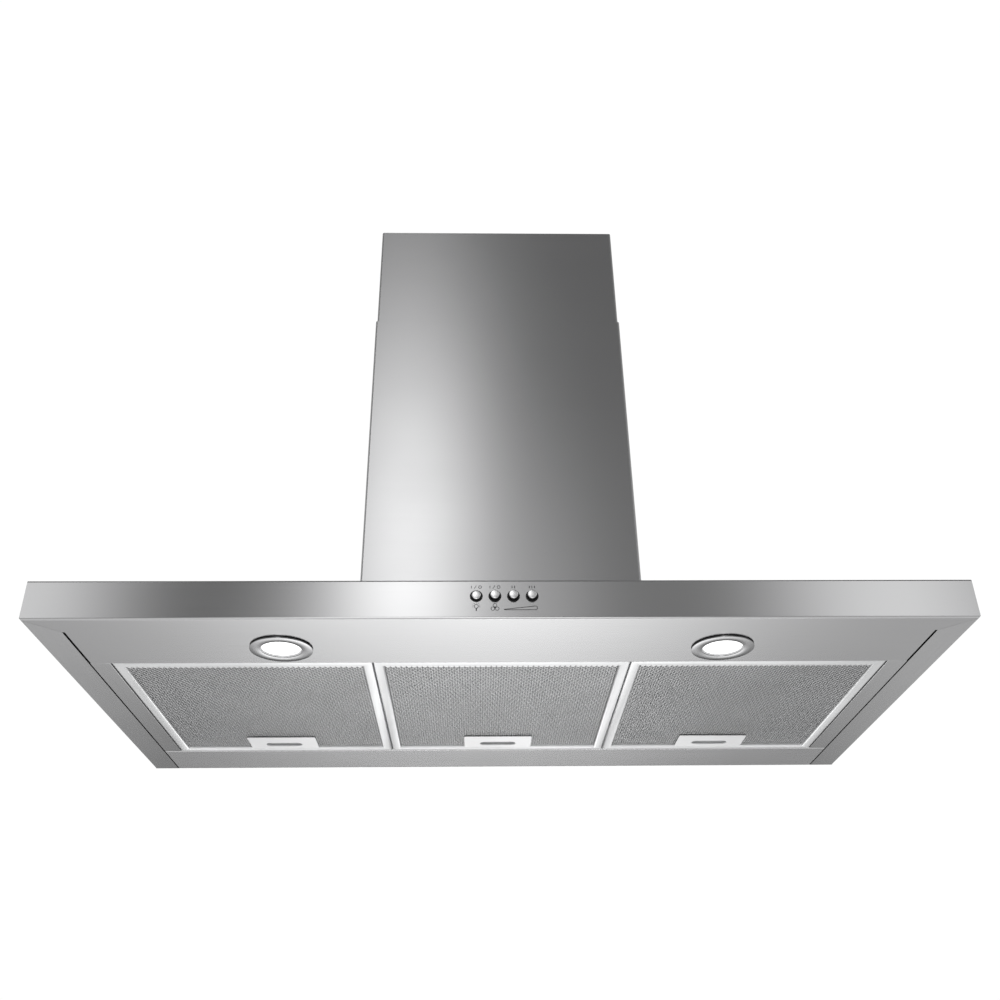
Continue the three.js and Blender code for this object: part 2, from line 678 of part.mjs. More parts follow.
// The aluminium mesh pack, notched round the latch and its spring.
function filterMesh(x) {
  const edge = FILTER_W / 2 - RAIL_SIDE - GAP;
  const reach = [FILTER_FRONT + RAIL_FRONT + GAP, FILTER_BACK - RAIL_BACK - GAP];
  const pack = box([-edge, edge], reach, MESH_Z);
  const wide = SLOT_W / 2 + 4;
  const room = box([-wide, wide], [SLOT_Y - 18, FILTER_BACK], [0, 9]);
  const springRoom = box([-5, 5], [POCKET_FRONT, SLOT_Y], [0, 9]);
  return cut(pack, room, springRoom).translate(x, 0, 0);
}

function stadium(length, width) {
  const [half, radius] = [(length - width) / 2, width / 2];
  const shape = new THREE.Shape();
  shape.absarc(half, 0, radius, -Math.PI / 2, Math.PI / 2);
  shape.absarc(-half, 0, radius, Math.PI / 2, Math.PI * 1.5);
  return shape;
}

// Pull plate with a cupped finger slot, and the tongue that catches on the rear strip.
function filterLatch(x) {
  const plate = box([-LATCH_W / 2, LATCH_W / 2], [LATCH_FRONT, LATCH_BACK], [GAP, 1.5]);
  const cup = prism(stadium(SLOT_W + 3, SLOT_D + 3), 'z', [1, 7], 6).translate(0, SLOT_Y, 0);
  const tongue = box(
    [-TONGUE_HALF, TONGUE_HALF], [SLOT_Y + SLOT_D / 2 + 1, FILTER_BACK], TONGUE_Z,
  );
  const root = box(
    [-TONGUE_HALF, TONGUE_HALF], [SLOT_Y + SLOT_D / 2 + 1, LATCH_BACK - 4], [1, TONGUE_Z[1]],
  );
  const slot = prism(stadium(SLOT_W, SLOT_D), 'z', [-1, 6], 6).translate(0, SLOT_Y, 0);
  return cut(join(plate, cup, tongue, root), slot).translate(x, 0, 0);
}

// Compression spring between the mesh pack and the latch cup, along Y.
function latchSpring(x) {
  const [from, to] = [POCKET_FRONT + 0.8, SLOT_Y - SLOT_D / 2 - 2.4];
  const [turns, radius, perTurn] = [5, 2, 8];
  const points = Array.from({ length: turns * perTurn + 1 }, (_, i) => {
    const angle = (2 * Math.PI * i) / perTurn;
    const y = from + ((to - from) * i) / (turns * perTurn);
    return new THREE.Vector3(x + radius * Math.cos(angle), y, 4.6 + radius * Math.sin(angle));
  });
  const wire = new THREE.Shape(Array.from({ length: 4 }, (_, i) => {
    const angle = (Math.PI * i) / 2;
    return new THREE.Vector2(0.4 * Math.cos(angle), 0.4 * Math.sin(angle));
  }));
  const path = new THREE.CatmullRomCurve3(points);
  return new THREE.ExtrudeGeometry(wire, { steps: turns * perTurn, extrudePath: path });
}

// ---- assembly -----------------------------------------------------------------------------

piece('ceiling_plate', 'zinc', ceilingPlate());
for (const [corner, sx, sy] of CORNERS) {
  piece(`upper_post_${corner}`, 'zinc', upperPost(sx, sy));
  piece(`lower_post_${corner}`, 'zinc', lowerPost(sx, sy));
  piece(`frame_bolt_${corner}`, 'zinc', frameBolt(sx, sy));
}

piece('chimney_upper_cover', 'steel', chimneyCover(
  UPPER_X, UPPER_Y, [CEILING - GAP - UPPER_LEN, CEILING - GAP],
));
piece('chimney_lower_cover', 'steel', chimneyCover(
  LOWER_W / 2, LOWER_D / 2, [CANOPY_H + GAP, LOWER_TOP],
));

piece('canopy_shell', 'steel', canopyShell());
piece('fascia_panel', 'steel', fasciaPanel());
piece('back_strip', 'steel', backStrip());

for (const [name, side] of SIDES) {
  piece(`side_strip_${name}`, 'steel', sideStrip(side));
  piece(`blower_housing_${name}`, 'black', blowerHousing(side));
  piece(`lamp_ring_${name}`, 'chrome', lampRing(side * LAMP_X));
  piece(`lamp_lens_${name}`, 'lens', lampLens(side * LAMP_X));
  piece(`lamp_housing_${name}`, 'aluminium', lampHousing(side * LAMP_X));
}

for (const [name, y] of [['front', RAIL_YS[0]], ['rear', RAIL_YS[1]]]) {
  const rail = box([-138, 138], [y - 8, y + 8], [CANOPY_H + GAP, RAIL_TOP]);
  piece(`blower_rail_${name}`, 'zinc', rail);
}

piece('blower_wheel', 'grey', blowerWheel());
piece('motor_shaft', 'zinc', rod('x', [FAN_Y, FAN_Z], SHAFT_R, [-24, MOTOR_FROM + 32], 16));
piece('blower_motor', 'zinc', blowerMotor());
piece('motor_bracket', 'zinc', motorBracket());
piece('motor_capacitor', 'white', turned('z', [92, 0], [
  [0, 255], [15, 255], [15, 303], [14, 305], [5, 305], [5, 310], [0, 310],
], 24));

piece('duct_collar', 'black', ductCollar());
const pinReach = COLLAR_R - WALL - 1;
piece('damper_pin', 'zinc', rod('x', [0, DAMPER_Z], 1.5, [-pinReach, pinReach], 10));
piece('damper_flap_front', 'grey', damperFlap(-1));
piece('damper_flap_rear', 'grey', damperFlap(1));

piece('wiring_box', 'grey', wiringBox());
const LID_X = [WIRING_X[0] - GAP - 2, WIRING_X[0] - GAP];
piece('wiring_box_lid', 'grey', box(LID_X, [-45, 45], WIRING_Z));
piece('cable_gland', 'black', cableGland());
piece('lamp_transformer', 'white', box([-310, -230], [182, 222], [12, CANOPY_H - SHEET - GAP]));
piece('switch_block', 'black', switchBlock());

const BUTTONS = ['light', 'fan_low', 'fan_medium', 'fan_high'];
BUTTONS.forEach((name, i) => {
  const out = name === 'light' ? LIGHT_BUTTON_OUT : FAN_BUTTON_OUT;
  piece(`button_${name}`, 'chrome', buttonCap((i - 1.5) * BUTTON_PITCH, out));
});

['left', 'centre', 'right'].forEach((name, i) => {
  const x = (i - 1) * FILTER_PITCH;
  piece(`filter_frame_${name}`, 'aluminium', filterFrame(x));
  piece(`filter_mesh_${name}`, 'mesh', filterMesh(x));
  piece(`filter_latch_${name}`, 'aluminium', filterLatch(x));
  piece(`latch_spring_${name}`, 'zinc', latchSpring(x));
});

export default hood;
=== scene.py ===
"""Looks of the ceiling-hung range hood: brushed steel sheets, aluminium mesh filters, lit lamps.

Metres, +Z up, origin at the centre of the chimney in the ceiling plane, buttons facing -Y.
"""

import json
import math

import bmesh
import bpy
from mathutils import Matrix, Vector


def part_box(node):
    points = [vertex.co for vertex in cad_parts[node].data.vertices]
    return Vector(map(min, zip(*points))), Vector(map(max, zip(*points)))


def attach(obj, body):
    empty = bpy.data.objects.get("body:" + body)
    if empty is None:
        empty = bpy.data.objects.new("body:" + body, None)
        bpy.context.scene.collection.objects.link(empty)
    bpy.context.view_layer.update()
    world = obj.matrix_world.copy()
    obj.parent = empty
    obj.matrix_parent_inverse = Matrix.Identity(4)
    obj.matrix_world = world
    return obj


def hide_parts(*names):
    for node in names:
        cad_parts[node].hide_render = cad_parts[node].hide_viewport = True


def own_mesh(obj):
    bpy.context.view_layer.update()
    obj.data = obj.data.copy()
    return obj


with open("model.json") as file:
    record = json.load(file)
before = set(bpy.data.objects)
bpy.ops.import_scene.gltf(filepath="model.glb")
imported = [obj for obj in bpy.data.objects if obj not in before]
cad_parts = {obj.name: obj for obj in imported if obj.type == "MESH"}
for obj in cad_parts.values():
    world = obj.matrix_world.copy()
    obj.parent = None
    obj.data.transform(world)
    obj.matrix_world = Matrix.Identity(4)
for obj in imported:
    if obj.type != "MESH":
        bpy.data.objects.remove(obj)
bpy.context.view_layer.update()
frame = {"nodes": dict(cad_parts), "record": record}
MM = 0.001

# ---- sizes taken from the frame -------------------------------------------------------------

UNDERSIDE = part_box("fascia_panel")[0].z
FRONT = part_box("fascia_panel")[0].y
SIDES = (("left", -1), ("right", 1))
FILTERS = ("left", "centre", "right")
BUTTONS = ("light", "fan_low", "fan_medium", "fan_high")


def centre_of(node):
    low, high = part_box(node)
    return (low + high) / 2


# ---- camera -----------------------------------------------------------------------------------

CAMERA_AT = Vector((-0.02565, -1.15467, -0.99628))
CAMERA_PITCH = math.radians(30.164)
CAMERA_YAW = math.radians(1.433)
CAMERA_ROLL = math.radians(-0.727)
CAMERA_LENS = 38.178


def make_camera():
    data = bpy.data.cameras.new("camera")
    data.sensor_width = 36
    data.lens = CAMERA_LENS
    camera = bpy.data.objects.new("camera", data)
    bpy.context.scene.collection.objects.link(camera)
    level = math.cos(CAMERA_PITCH)
    forward = Vector((math.sin(CAMERA_YAW) * level, math.cos(CAMERA_YAW) * level, math.sin(CAMERA_PITCH)))
    flat_right = Vector((math.cos(CAMERA_YAW), -math.sin(CAMERA_YAW), 0))
    flat_up = flat_right.cross(forward)
    right = flat_right * math.cos(CAMERA_ROLL) + flat_up * math.sin(CAMERA_ROLL)
    up = flat_up * math.cos(CAMERA_ROLL) - flat_right * math.sin(CAMERA_ROLL)
    turn = Matrix((right, up, -forward)).transposed().to_4x4()
    camera.matrix_world = Matrix.Translation(CAMERA_AT) @ turn
    bpy.context.scene.camera = camera


# ---- node helpers -----------------------------------------------------------------------------

class Graph:
    """A short way to write shader nodes: each method adds one node and returns its output."""

    def __init__(self, tree):
        self.tree = tree
        self.nodes = tree.nodes
        self.links = tree.links

    def node(self, kind, **settings):
        made = self.nodes.new(kind)
        for name, value in settings.items():
            setattr(made, name, value)
        return made

    def feed(self, socket, value):
        if isinstance(value, bpy.types.NodeSocket):
            self.links.new(value, socket)
        elif value is not None:
            socket.default_value = value

    def math(self, operation, a, b=None, c=None):
        made = self.node("ShaderNodeMath", operation=operation)
        for socket, value in zip(made.inputs, (a, b, c)):
            self.feed(socket, value)
        return made.outputs[0]

    def noise(self, vector, scale, detail=2.0, roughness=0.5):
        made = self.node("ShaderNodeTexNoise")
        self.feed(made.inputs["Vector"], vector)
        made.inputs["Scale"].default_value = scale
        made.inputs["Detail"].default_value = detail
        made.inputs["Roughness"].default_value = roughness
        return made.outputs["Fac"]

    def stretch(self, vector, scale):
        made = self.node("ShaderNodeMapping")
        self.feed(made.inputs["Vector"], vector)
        made.inputs["Scale"].default_value = scale
        return made.outputs["Vector"]

    def range(self, value, low, high, to_low, to_high):
        made = self.node("ShaderNodeMapRange")
        self.feed(made.inputs["Value"], value)
        made.inputs["From Min"].default_value = low
        made.inputs["From Max"].default_value = high
        made.inputs["To Min"].default_value = to_low
        made.inputs["To Max"].default_value = to_high
        return made.outputs["Result"]

    def mix(self, factor, a, b):
        made = self.node("ShaderNodeMix", data_type="RGBA")
        self.feed(made.inputs[0], factor)
        self.feed(made.inputs[6], a)
        self.feed(made.inputs[7], b)
        return made.outputs[2]

    def bump(self, height, distance, strength=1.0):
        made = self.node("ShaderNodeBump")
        made.inputs["Strength"].default_value = strength
        made.inputs["Distance"].default_value = distance
        self.feed(made.inputs["Height"], height)
        return made.outputs["Normal"]


# ---- studio -----------------------------------------------------------------------------------

def soft_box(graph, azimuth, elevation, middle, size, strength):
    """A soft bright patch of the studio, round (azimuth, elevation) in degrees."""
    terms = []
    for angle, at, width in zip((azimuth, elevation), middle, size):
        away = graph.math("WRAP", graph.math("SUBTRACT", angle, math.radians(at)), math.pi, -math.pi)
        offset = graph.math("DIVIDE", away, math.radians(width))
        terms.append(graph.math("MULTIPLY", offset, offset))
    fall = graph.math("EXPONENT", graph.math("MULTIPLY", graph.math("ADD", *terms), -1.0))
    return graph.math("MULTIPLY", fall, strength)


# Each soft box: (azimuth, elevation) of its middle, half sizes in degrees, strength. Azimuth 0
# is straight out in front of the buttons, and azimuth 180 is behind the hood.
SOFT_BOXES = (
    ((-4.2, 28), (4.5, 8.5), 2.4),      # window ahead, a little to the left
    ((-7, 38), (7, 14), 0.27),          # its glow on the ceiling
    ((8, 47), (9, 11), 0.14),
    ((-6, -3), (8, 17), 1.6),           # the same window's foot
    ((-1, -36), (14, 13), 1.5),         # and its light on the floor in front
    ((4.5, 24), (3.5, 7), 0.6),
    ((10.5, 24), (3, 10), 0.18),
    ((-25.2, 20), (5, 24), 1.2),        # window edges to the left and right
    ((23.5, 20), (7, 24), 1.2),
    ((180, -33), (18, 9.5), 2.35),      # pale table beyond the hood
    ((151, -13), (9, 7), 0.55),
    ((-151, -13), (9, 7), 0.5),
    ((75, 22), (24, 30), 0.8),          # walls at the sides and behind
    ((-75, 22), (24, 30), 0.8),
    ((140, 22), (22, 26), 0.8),
    ((-140, 22), (22, 26), 0.8),
)
DIM = 0.05                # the studio between the soft boxes
FLOOR_GLOW = 0.7          # the pale floor as the steel sees it, from this elevation down
FLOOR_FROM = math.radians(-40)
FLOOR_SOFT = math.radians(15)
SKY_GLOW = 0.35           # straight above
SKY_BAND = (math.radians(60), math.radians(85))
BACKDROP = 1.02           # the plain white that the camera sees behind the hood


def make_world():
    world = bpy.data.worlds.new("studio")
    bpy.context.scene.world = world
    world.use_nodes = True
    world.node_tree.nodes.clear()
    graph = Graph(world.node_tree)
    direction = graph.node("ShaderNodeTexCoord").outputs["Generated"]
    split = graph.node("ShaderNodeSeparateXYZ")
    graph.feed(split.inputs[0], direction)
    x, y, z = split.outputs
    azimuth = graph.math("ARCTAN2", x, graph.math("MULTIPLY", y, -1.0))
    elevation = graph.math("ARCSINE", z)
    light = DIM
    for middle, size, strength in SOFT_BOXES:
        light = graph.math("ADD", soft_box(graph, azimuth, elevation, middle, size, strength), light)
    up = graph.range(elevation, *SKY_BAND, 0.0, SKY_GLOW)
    above_floor = graph.math("SUBTRACT", graph.math("MAXIMUM", elevation, FLOOR_FROM), FLOOR_FROM)
    depth = graph.math("DIVIDE", above_floor, FLOOR_SOFT)
    down = graph.math("EXPONENT", graph.math("MULTIPLY", graph.math("MULTIPLY", depth, depth), -1.0))
    down = graph.math("MULTIPLY", down, FLOOR_GLOW)
    light = graph.math("ADD", graph.math("ADD", up, down), light)
    seen = graph.node("ShaderNodeLightPath").outputs["Is Camera Ray"]
    strength = graph.math("ADD", graph.math("MULTIPLY", seen, BACKDROP),
                          graph.math("MULTIPLY", graph.math("SUBTRACT", 1.0, seen), light))
    background = graph.node("ShaderNodeBackground")
    background.inputs["Color"].default_value = (1, 1, 1, 1)
    graph.feed(background.inputs["Strength"], strength)
    output = graph.node("ShaderNodeOutputWorld")
    graph.links.new(background.outputs[0], output.inputs[0])


FLOOR_Z = -2.45
FLOOR_REACH = 30
LAMP_AT = (0, 1.2, 3.0)
LAMP_SIZE = 4.0
LAMP_POWER = 330


def make_stage():
    """A pale floor far below, and a soft lamp overhead that only lights it and the plastics."""
    mesh = bpy.data.meshes.new("floor")
    sides = ((-1, -1), (1, -1), (1, 1), (-1, 1))
    mesh.from_pydata([(FLOOR_REACH * x, FLOOR_REACH * y, FLOOR_Z) for x, y in sides], [], [(0, 1, 2, 3)])
    floor = bpy.data.objects.new("floor", mesh)
    bpy.context.scene.collection.objects.link(floor)
    pale = bpy.data.materials.new("pale_floor")
    pale.use_nodes = True
    shader = pale.node_tree.nodes["Principled BSDF"]
    shader.inputs["Base Color"].default_value = (0.86, 0.86, 0.86, 1)
    shader.inputs["Roughness"].default_value = 0.9
    shader.inputs["Emission Color"].default_value = (1, 1, 1, 1)
    shader.inputs["Emission Strength"].default_value = 0.4
    mesh.materials.append(pale)
    floor.visible_glossy = False
    data = bpy.data.lights.new("overhead", "AREA")
    data.shape = "SQUARE"
    data.size = LAMP_SIZE
    data.energy = LAMP_POWER
    lamp = bpy.data.objects.new("overhead", data)
    lamp.location = LAMP_AT
    lamp.visible_camera = False
    lamp.visible_glossy = False
    bpy.context.scene.collection.objects.link(lamp)


# ---- materials --------------------------------------------------------------------------------

def new_material(name):
    made = bpy.data.materials.new(name)
    made.use_nodes = True
    graph = Graph(made.node_tree)
    return made, graph, made.node_tree.nodes["Principled BSDF"]


def grain_coordinates(graph):
    made = graph.node("ShaderNodeUVMap", uv_map="grain")
    return made.outputs["UV"]


def object_coordinates(graph):
    return graph.node("ShaderNodeTexCoord").outputs["Object"]


def brushed_steel(name, tone, roughness, along=0.8):
    """Sheet brushed along the U direction of its grain map, with fine hairline streaks."""
    made, graph, shader = new_material(name)
    grain = grain_coordinates(graph)
    fine = graph.noise(graph.stretch(grain, (22, 3200, 1)), 1.0, 1.0, 0.5)
    coarse = graph.noise(graph.stretch(grain, (6, 900, 1)), 1.0, 1.0, 0.5)
    cloud = graph.noise(object_coordinates(graph), 9.0, 2.0, 0.5)
    streak = graph.math("ADD", graph.math("MULTIPLY", fine, 0.6), graph.math("MULTIPLY", coarse, 0.4))
    dark = [c * 0.975 for c in tone] + [1]
    light = [min(1.0, c * 1.025) for c in tone] + [1]
    graph.feed(shader.inputs["Base Color"], graph.mix(graph.range(streak, 0.3, 0.7, 0, 1), dark, light))
    shader.inputs["Metallic"].default_value = 1.0
    blur = graph.math("ADD", graph.range(streak, 0.3, 0.7, roughness - 0.012, roughness + 0.012),
                      graph.range(cloud, 0.3, 0.7, -0.005, 0.005))
    graph.feed(shader.inputs["Roughness"], blur)
    shader.inputs["Anisotropic"].default_value = along
    shader.inputs["Anisotropic Rotation"].default_value = 0.25
    tangent = graph.node("ShaderNodeTangent", direction_type="UV_MAP", uv_map="grain")
    graph.feed(shader.inputs["Tangent"], tangent.outputs[0])
    graph.feed(shader.inputs["Normal"], graph.bump(fine, 0.00001, 0.04))
    return made


def satin_metal(name, tone, roughness, texture_scale=220.0, depth=0.00003):
    made, graph, shader = new_material(name)
    place = object_coordinates(graph)
    speckle = graph.noise(place, texture_scale, 3.0, 0.6)
    cloud = graph.noise(place, 11.0, 2.0, 0.5)
    dark = [c * 0.94 for c in tone] + [1]
    light = [min(1.0, c * 1.04) for c in tone] + [1]
    graph.feed(shader.inputs["Base Color"], graph.mix(graph.range(cloud, 0.3, 0.7, 0, 1), dark, light))
    shader.inputs["Metallic"].default_value = 1.0
    graph.feed(shader.inputs["Roughness"], graph.range(speckle, 0.3, 0.7, roughness - 0.02, roughness + 0.02))
    graph.feed(shader.inputs["Normal"], graph.bump(speckle, depth, 0.08))
    return made


def zinc_coated(name):
    """Galvanised steel with its faint crystal pattern."""
    made, graph, shader = new_material(name)
    place = object_coordinates(graph)
    crystals = graph.node("ShaderNodeTexVoronoi", feature="F1")
    graph.feed(crystals.inputs["Vector"], place)
    crystals.inputs["Scale"].default_value = 120.0
    tone = graph.node("ShaderNodeSeparateColor")
    graph.feed(tone.inputs[0], crystals.outputs["Color"])
    graph.feed(shader.inputs["Base Color"],
               graph.mix(tone.outputs[0], (0.46, 0.48, 0.50, 1), (0.60, 0.62, 0.64, 1)))
    shader.inputs["Metallic"].default_value = 1.0
    graph.feed(shader.inputs["Roughness"], graph.range(tone.outputs[1], 0, 1, 0.36, 0.52))
    graph.feed(shader.inputs["Normal"], graph.bump(graph.noise(place, 900.0), 0.00003, 0.4))
    return made


def moulded_plastic(name, tone, roughness):
    made, graph, shader = new_material(name)
    place = object_coordinates(graph)
    pebble = graph.noise(place, 1400.0, 2.0, 0.5)
    cloud = graph.noise(place, 25.0, 2.0, 0.5)
    dark = [c * 0.9 for c in tone] + [1]
    light = [min(1.0, c * 1.08) for c in tone] + [1]
    graph.feed(shader.inputs["Base Color"], graph.mix(graph.range(cloud, 0.3, 0.7, 0, 1), dark, light))
    graph.feed(shader.inputs["Roughness"], graph.range(pebble, 0.3, 0.7, roughness - 0.05, roughness + 0.05))
    graph.feed(shader.inputs["Normal"], graph.bump(pebble, 0.00004, 0.5))
    return made


def mesh_pack_painted_shade(name):
    """The deeper mesh layers, seen as a dark sheet with rows of small bright strands: the near black between
    them and the dimmed strands are painted shade for the depth of the filter.
    """
    made, graph, shader = new_material(name)
    place = graph.node("ShaderNodeSeparateXYZ")
    graph.feed(place.inputs[0], object_coordinates(graph))
    waves = [graph.math("SINE", graph.math("MULTIPLY", place.outputs[axis], 2 * math.pi / (pitch * MM)))
             for axis, pitch in ((0, 2.6), (1, 3.4))]
    weave = graph.math("MULTIPLY", *waves)
    # near black between the strands and their dim grey: painted shade
    graph.feed(shader.inputs["Base Color"],
               graph.mix(graph.range(weave, -0.35, 0.35, 0, 1), (0.01, 0.01, 0.01, 1), (0.42, 0.42, 0.43, 1)))
    shader.inputs["Metallic"].default_value = 1.0
    graph.feed(shader.inputs["Roughness"], graph.range(weave, -1, 1, 0.55, 0.35))
    graph.feed(shader.inputs["Normal"], graph.bump(weave, 0.0003, 0.7))
    return made


def frosted_lens(name):
    """Frosted glass disc, lit from behind and brightest in its middle."""
    made, graph, shader = new_material(name)
    grain = grain_coordinates(graph)
    length = graph.node("ShaderNodeVectorMath", operation="LENGTH")
    graph.feed(length.inputs[0], grain)
    frost = graph.noise(object_coordinates(graph), 900.0, 2.0, 0.6)
    shader.inputs["Base Color"].default_value = (0.93, 0.94, 0.96, 1)
    graph.feed(shader.inputs["Roughness"], graph.range(frost, 0.3, 0.7, 0.3, 0.5))
    shader.inputs["Emission Color"].default_value = (1.0, 0.99, 0.97, 1)
    glow = graph.range(length.outputs["Value"], 0.010, 0.022, 2.0, 0.05)
    graph.feed(shader.inputs["Emission Strength"], glow)
    graph.feed(shader.inputs["Normal"], graph.bump(frost, 0.00005, 0.6))
    return made


def printed_ink(name):
    made, graph, shader = new_material(name)
    grain = graph.noise(object_coordinates(graph), 2500.0, 1.0, 0.5)
    graph.feed(shader.inputs["Base Color"],
               graph.mix(grain, (0.05, 0.05, 0.05, 1), (0.09, 0.09, 0.09, 1)))
    shader.inputs["Roughness"].default_value = 0.6
    return made


STEEL = (0.60, 0.60, 0.605)
# the chimney's steel is the canopy's steel made darker: painted shade
SHADED_CHIMNEY_STEEL = (0.54, 0.54, 0.545)
materials = {
    "canopy": brushed_steel("brushed_steel_canopy", STEEL, 0.19, 0.8),
    "chimney": brushed_steel("brushed_steel_chimney_shaded", SHADED_CHIMNEY_STEEL, 0.20, 0.78),
    "zinc": zinc_coated("zinc_coated_steel"),
    "rail": satin_metal("satin_aluminium", (0.88, 0.885, 0.89), 0.40),
    "mesh": satin_metal("mesh_aluminium", (0.93, 0.935, 0.94), 0.30, 600.0),
    "pack": mesh_pack_painted_shade("mesh_pack_painted_shade"),
    "plate": satin_metal("matt_aluminium", (0.92, 0.92, 0.925), 0.45),
    "cap": satin_metal("satin_chrome", (0.93, 0.93, 0.935), 0.20),
    "ring": satin_metal("satin_nickel", (0.44, 0.44, 0.445), 0.22),
    "black": moulded_plastic("black_plastic", (0.012, 0.012, 0.013), 0.42),
    "grey": moulded_plastic("grey_plastic", (0.34, 0.345, 0.35), 0.5),
    "white": moulded_plastic("white_plastic", (0.72, 0.72, 0.69), 0.45),
    "lens": frosted_lens("frosted_lens"),
    "ink": printed_ink("printed_ink"),
}

# ---- mesh helpers -----------------------------------------------------------------------------


def link(name, mesh, material, body, replaces=()):
    piece = bpy.data.objects.new(name, mesh)
    bpy.context.scene.collection.objects.link(piece)
    mesh.materials.clear()
    mesh.materials.append(materials[material])
    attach(piece, body)
    if replaces:
        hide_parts(*replaces)
    return piece


def body_of(node):
    for body, members in frame["record"]["behaviour"]["bodies"].items():
        if node in members:
            return body
    raise ValueError(node)


def smooth(mesh, angle=32):
    mesh.polygons.foreach_set("use_smooth", [True] * len(mesh.polygons))
    mesh.set_sharp_from_angle(angle=math.radians(angle))


def map_grain(mesh, rule):
    """Writes the grain map: U runs along the brushing, in metres."""
    layer = mesh.uv_layers.get("grain") or mesh.uv_layers.new(name="grain")
    for polygon in mesh.polygons:
        along = rule(polygon.normal)
        across = polygon.normal.cross(along).normalized()
        for index in polygon.loop_indices:
            point = mesh.vertices[mesh.loops[index].vertex_index].co
            layer.data[index].uv = (point.dot(along), point.dot(across))


X_AXIS = Vector((1, 0, 0))
Y_AXIS = Vector((0, 1, 0))


def brushed_level(normal):
    """Brushed in level lines: along X, and along Y on the faces that look sideways."""
    if abs(normal.x) > 0.8:
        return Y_AXIS
    return X_AXIS


def brushed_lengthways(normal):
    return Y_AXIS if abs(normal.y) < 0.8 else X_AXIS


def refined_mesh(node, bevel=0.25 * MM, segments=2, merge_angle=0.6):
    """The CAD node's mesh with its flat faces joined and its sharp edges rounded off."""
    source = frame["nodes"][node].data
    work = bmesh.new()
    work.from_mesh(source)
    bmesh.ops.remove_doubles(work, verts=work.verts, dist=1e-6)
    bmesh.ops.dissolve_limit(work, angle_limit=math.radians(merge_angle), verts=work.verts, edges=work.edges)
    rough = bpy.data.meshes.new(node + "_rough")
    work.to_mesh(rough)
    work.free()
    done = rounded_copy(rough, bevel, segments)
    bpy.data.meshes.remove(rough)
    return done


def rounded_copy(mesh, bevel, segments=2):
    """A copy with rounded edges, shaded so that its flat faces stay flat."""
    mesh.polygons.foreach_set("use_smooth", [True] * len(mesh.polygons))
    holder = bpy.data.objects.new("holder", mesh)
    bpy.context.scene.collection.objects.link(holder)
    rounding = holder.modifiers.new("bevel", "BEVEL")
    rounding.width = bevel
    rounding.segments = segments
    rounding.limit_method = "ANGLE"
    rounding.angle_limit = math.radians(30)
    rounding.use_clamp_overlap = True
    rounding.miter_outer = "MITER_ARC"
    weighting = holder.modifiers.new("weights", "WEIGHTED_NORMAL")
    weighting.mode = "FACE_AREA"
    weighting.weight = 90
    weighting.keep_sharp = True
    done = bpy.data.meshes.new_from_object(holder.evaluated_get(bpy.context.evaluated_depsgraph_get()))
    bpy.data.objects.remove(holder)
    return done


def refined(node, material, rule=None, bevel=0.25 * MM, segments=2):
    mesh = refined_mesh(node, bevel, segments)
    mesh.name = node + "_finish"
    if rule:
        map_grain(mesh, rule)
    return link(node + "_finish", mesh, material, body_of(node), (node,))


def finish_mesh(name, work, angle=32):
    bmesh.ops.recalc_face_normals(work, faces=work.faces)
    mesh = bpy.data.meshes.new(name)
    work.to_mesh(mesh)
    work.free()
    smooth(mesh, angle)
    return mesh


def turned(name, profile, centre, axis, steps=64, angle=32):
    """A closed body of revolution: (radius, height) pairs about an axis through centre."""
    work = bmesh.new()
    turn = axis.to_track_quat("Z", "Y").to_matrix()
    rings = []
    for radius, height in profile:
        if radius < 1e-7:
            rings.append([work.verts.new(centre + turn @ Vector((0, 0, height)))])
            continue
        ring = []
        for i in range(steps):
            a = 2 * math.pi * i / steps
            point = Vector((radius * math.cos(a), radius * math.sin(a), height))
            ring.append(work.verts.new(centre + turn @ point))
        rings.append(ring)
    pairs = list(zip(rings, rings[1:]))
    if len(rings[0]) > 1:
        pairs.append((rings[-1], rings[0]))
    for low, high in pairs:
        for i in range(steps):
            j = (i + 1) % steps
            if len(low) == 1 and len(high) > 1:
                work.faces.new((low[0], high[i], high[j]))
            elif len(high) == 1 and len(low) > 1:
                work.faces.new((low[i], low[j], high[0]))
            elif len(low) > 1:
                work.faces.new((low[i], low[j], high[j], high[i]))
    return finish_mesh(name, work, angle)


def add_box(work, x_range, y_range, z_range):
    low = Vector((x_range[0], y_range[0], z_range[0]))
    high = Vector((x_range[1], y_range[1], z_range[1]))
    scale = Matrix.Diagonal((*(high - low), 1))
    bmesh.ops.create_cube(work, size=1, matrix=Matrix.Translation((low + high) / 2) @ scale)


def stadium(centre, length, width, steps=12):
    """Points round a slot with half-round ends, (x, y)."""
    half, radius = (length - width) / 2, width / 2
    points = []
    for sign in (1, -1):
        for k in range(steps + 1):
            a = math.pi * (k / steps - sign / 2)
            points.append((centre[0] + sign * half + radius * math.cos(a), centre[1] + radius * math.sin(a)))
    return points


def rounded_outline(low, high, radius, steps=5):
    points = []
    for k, (x, y) in enumerate(((high[0], high[1]), (low[0], high[1]), (low[0], low[1]), (high[0], low[1]))):
        inset = (x - radius if x == high[0] else x + radius, y - radius if y == high[1] else y + radius)
        for i in range(steps + 1):
            a = math.pi / 2 * (k + i / steps)
            points.append((inset[0] + radius * math.cos(a), inset[1] + radius * math.sin(a)))
    return points


